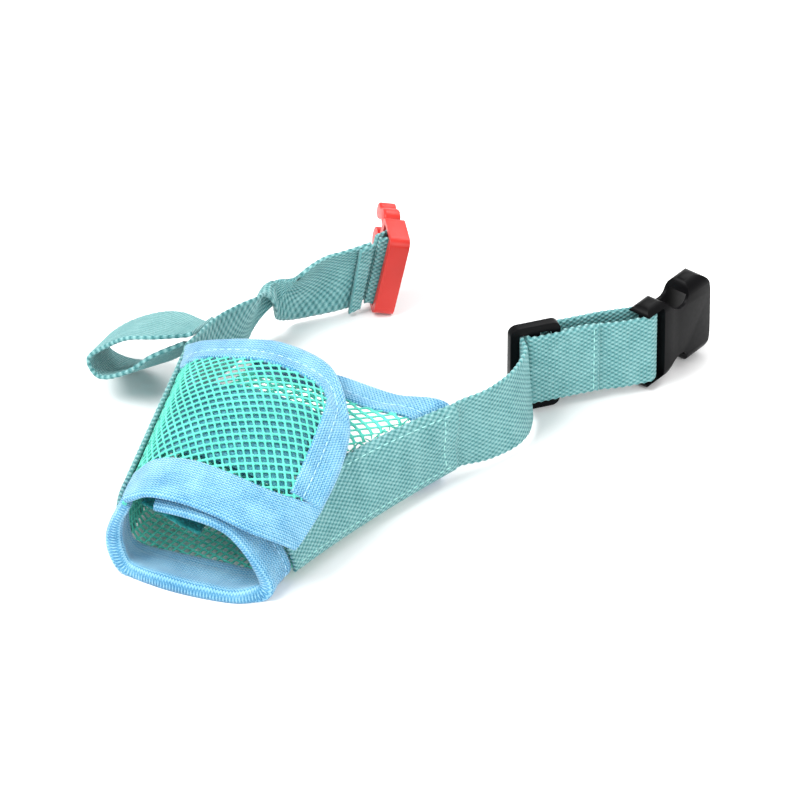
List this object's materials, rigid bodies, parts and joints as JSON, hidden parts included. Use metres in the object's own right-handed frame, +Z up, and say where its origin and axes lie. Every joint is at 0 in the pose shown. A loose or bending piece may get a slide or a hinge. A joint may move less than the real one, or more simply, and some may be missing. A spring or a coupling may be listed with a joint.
{
  "type": "soft dog muzzle",
  "caption": "Soft net muzzle that wraps round a dog's snout, with folded edge tape, a hook-and-loop nose flap, a collar loop and neck straps joined by a side-release buckle.",
  "frame": {"origin": "floor level under the middle of the nose opening, as the muzzle lies open-fronted on a flat surface", "axes": "+Z up; -Y out of the nose opening, away from the dog's face; +X towards the side where the flap closes"},
  "size_m": [0.1414, 0.1514, 0.0356],
  "materials": {
    "net": "knitted polyester net, soft satin strands",
    "tape": "folded knit binding tape, matt",
    "webbing": "ribbed nylon webbing, slight sheen",
    "patch": "looped hook-and-loop tape, fuzzy",
    "hook": "hooked hook-and-loop tape, wiry",
    "curl": "looped hook-and-loop tape, dark and fuzzy",
    "thread": "polyester sewing thread",
    "red_plastic": "moulded acetal, satin gloss",
    "black_plastic": "moulded acetal, satin"
  },
  "bodies": {
    "muzzle": {"chin_net": "net", "tongue_net": "net", "rim_tape": "tape", "rear_tape": "tape", "loop_patch": "patch", "curl_strip": "curl", "left_webbing": "webbing", "right_webbing": "webbing", "collar_loop": "webbing", "left_strap_root": "webbing", "bar_tack": "thread"},
    "flap": {"flap_net": "net", "crossbar_tape": "tape", "flap_edge_tape": "tape", "hook_patch": "hook"},
    "left_strap": {"left_neck_strap": "webbing", "plug_tail": "webbing", "plug_turn_webbing": "webbing"},
    "plug": {"plug_frame": "red_plastic"},
    "upper_spring_arm": {"upper_arm": "red_plastic"},
    "lower_spring_arm": {"lower_arm": "red_plastic"},
    "right_strap": {"right_neck_strap": "webbing", "socket_turn_webbing": "webbing"},
    "adjuster": {"slider": "black_plastic", "slider_tail": "webbing", "tail_stitches": "thread"},
    "socket_half": {"socket": "black_plastic"}
  },
  "joints": [
    {"name": "flap_open", "type": "hinge", "parent": "muzzle", "child": "flap", "pos_m": [-0.0195, 0.001, 0.0224], "axis": [0.1473, -0.9891, 0.0058], "range_deg": [0, 75]},
    {"name": "left_strap_swing", "type": "hinge", "parent": "muzzle", "child": "left_strap", "pos_m": [-0.0299, 0.0842, 0.011], "axis": [0, 0, 1], "range_deg": [-12, 12]},
    {"name": "plug_swivel", "type": "hinge", "parent": "left_strap", "child": "plug", "pos_m": [-0.00221, 0.13426, 0.01189], "axis": [0.1801, 0.104, 0.9781], "range_deg": [-4, 40]},
    {"name": "upper_arm_squeeze", "type": "hinge", "parent": "plug", "child": "upper_spring_arm", "pos_m": [-0.00388, 0.14069, 0.0202], "axis": [-0.8471, -0.4891, 0.2079], "range_deg": [0, 5], "stiffness_Nm_per_rad": 0.05},
    {"name": "lower_arm_squeeze", "type": "hinge", "parent": "plug", "child": "lower_spring_arm", "pos_m": [-0.00694, 0.13892, 0.00358], "axis": [0.8471, 0.4891, -0.2079], "range_deg": [0, 5], "stiffness_Nm_per_rad": 0.05},
    {"name": "right_strap_swing", "type": "hinge", "parent": "muzzle", "child": "right_strap", "pos_m": [0.041, 0.071, 0.012], "axis": [0, 0, 1], "range_deg": [-12, 12]},
    {"name": "adjuster_slide", "type": "slide", "parent": "right_strap", "child": "adjuster", "axis": [0.757, 0.6534, 0], "range_m": [0, 0.006]},
    {"name": "socket_swivel", "type": "hinge", "parent": "right_strap", "child": "socket_half", "pos_m": [0.07071, 0.12464, 0.0123], "axis": [0, 0, 1], "range_deg": [-40, 40]}
  ]
}
